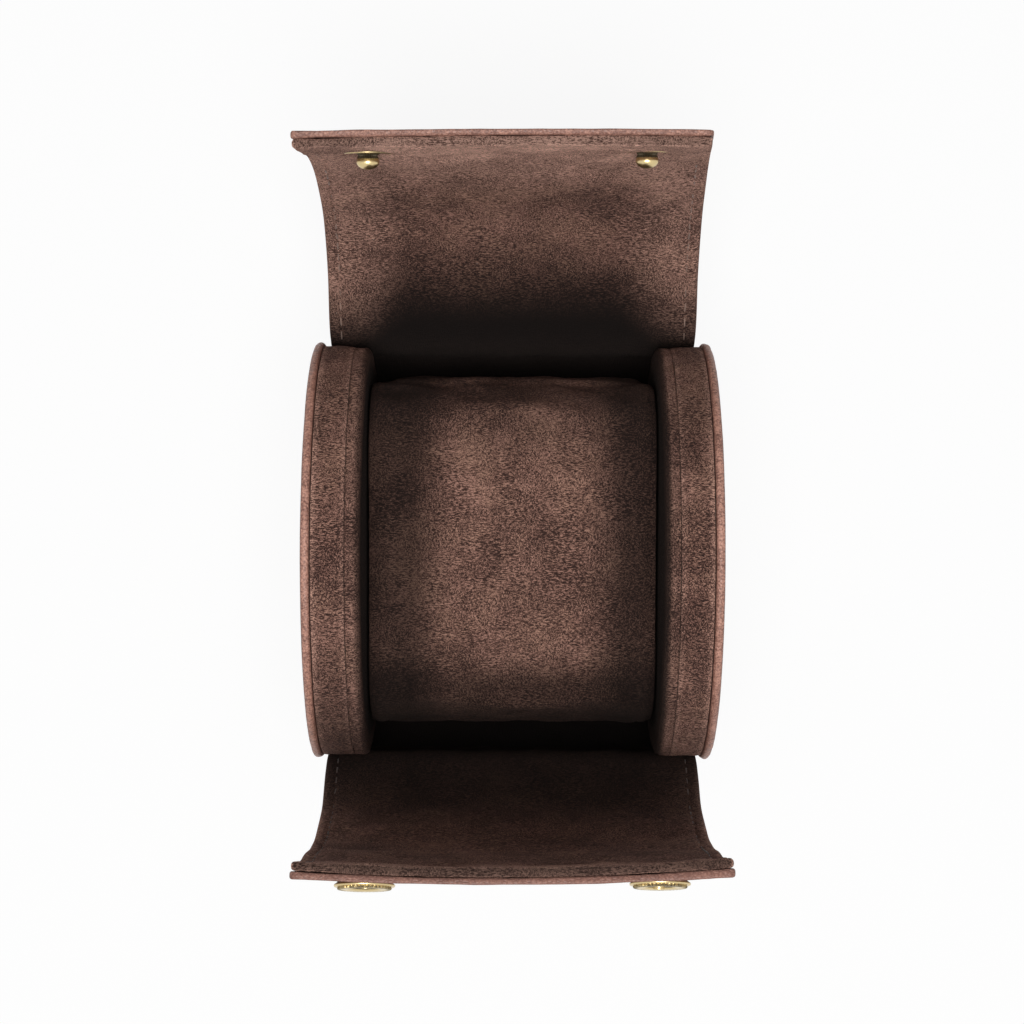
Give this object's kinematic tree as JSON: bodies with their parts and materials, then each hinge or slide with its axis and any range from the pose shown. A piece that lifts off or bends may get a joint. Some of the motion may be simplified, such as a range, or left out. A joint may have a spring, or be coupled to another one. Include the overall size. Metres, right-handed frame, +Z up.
{
  "type": "watch travel case",
  "caption": "Open round watch travel roll: leather wrap with two flaps and snaps, suede lining, round end caps and a loose pillow for the watch.",
  "frame": {"origin": "centre of the flat foot of the wrap, on the table", "axes": "+X along the roll's axis, from the left cap to the right cap; +Y towards the back flap, which carries the studs; +Z up"},
  "size_m": [0.082, 0.1411, 0.138],
  "materials": {
    "leather": "semi-matt reddish brown full-grain leather",
    "suede": "dark brown suede nap",
    "board": "matt grey-brown fibre board",
    "foam": "matt pale foam",
    "antique_brass": "antique brass, worn bright on the high spots"
  },
  "bodies": {
    "case": {"wrap_leather_base": "leather", "wrap_board_base": "board", "wrap_lining_base": "suede", "end_disc_left": "leather", "cap_board_left": "board", "cap_foam_left": "foam", "cap_gusset_left": "suede", "cap_face_left": "suede", "end_disc_right": "leather", "cap_board_right": "board", "cap_foam_right": "foam", "cap_gusset_right": "suede", "cap_face_right": "suede"},
    "front_flap_root": {"front_leather_1": "leather", "front_board_1": "board", "front_lining_1": "suede"},
    "front_flap_middle": {"front_leather_2": "leather", "front_board_2": "board", "front_lining_2": "suede"},
    "front_flap_edge": {"front_leather_3": "leather", "front_board_3": "board", "front_lining_3": "suede", "snap_sockets": "antique_brass", "snap_rivets": "antique_brass"},
    "back_flap_root": {"back_leather_1": "leather", "back_board_1": "board", "back_lining_1": "suede"},
    "back_flap_middle": {"back_leather_2": "leather", "back_board_2": "board", "back_lining_2": "suede"},
    "back_flap_edge": {"back_leather_3": "leather", "back_board_3": "board", "back_lining_3": "suede", "snap_studs": "antique_brass", "snap_caps": "antique_brass"},
    "pillow": {"pillow_foam": "foam", "pillow_sleeve": "suede", "pillow_end_left": "suede", "pillow_end_right": "suede"}
  },
  "joints": [
    {"name": "front_flap", "type": "hinge", "parent": "case", "child": "front_flap_root", "pos_m": [0, -0.04499, 0.05269], "axis": [-1, 0, 0], "range_deg": [-30, 50.5]},
    {"name": "front_flap_bend_1", "type": "hinge", "parent": "front_flap_root", "child": "front_flap_middle", "pos_m": [0, -0.05498, 0.08012], "axis": [-1, 0, 0], "range_deg": [-8.93, 15.01]},
    {"name": "front_flap_bend_2", "type": "hinge", "parent": "front_flap_middle", "child": "front_flap_edge", "pos_m": [0, -0.05396, 0.1093], "axis": [-1, 0, 0], "range_deg": [-17.66, 29.72]},
    {"name": "back_flap", "type": "hinge", "parent": "case", "child": "back_flap_root", "pos_m": [0, 0.04582, 0.03912], "axis": [1, 0, 0], "range_deg": [-20, 62.46]},
    {"name": "back_flap_bend_1", "type": "hinge", "parent": "back_flap_root", "child": "back_flap_middle", "pos_m": [0, 0.06903, 0.05419], "axis": [1, 0, 0], "range_deg": [-0.34, 1.02]},
    {"name": "back_flap_bend_2", "type": "hinge", "parent": "back_flap_middle", "child": "back_flap_edge", "pos_m": [0, 0.0805, 0.07936], "axis": [1, 0, 0], "range_deg": [-3.54, 11.01]},
    {"name": "pillow_lift", "type": "slide", "parent": "case", "child": "pillow", "axis": [0, 0, 1], "range_m": [0, 0.008]}
  ],
  "couplings": [
    {"joint": "front_flap_bend_1", "follows": "front_flap", "ratio": 0.29703},
    {"joint": "front_flap_bend_2", "follows": "front_flap", "ratio": 0.58812},
    {"joint": "back_flap_bend_1", "follows": "back_flap", "ratio": 0.01601},
    {"joint": "back_flap_bend_2", "follows": "back_flap", "ratio": 0.17611}
  ]
}
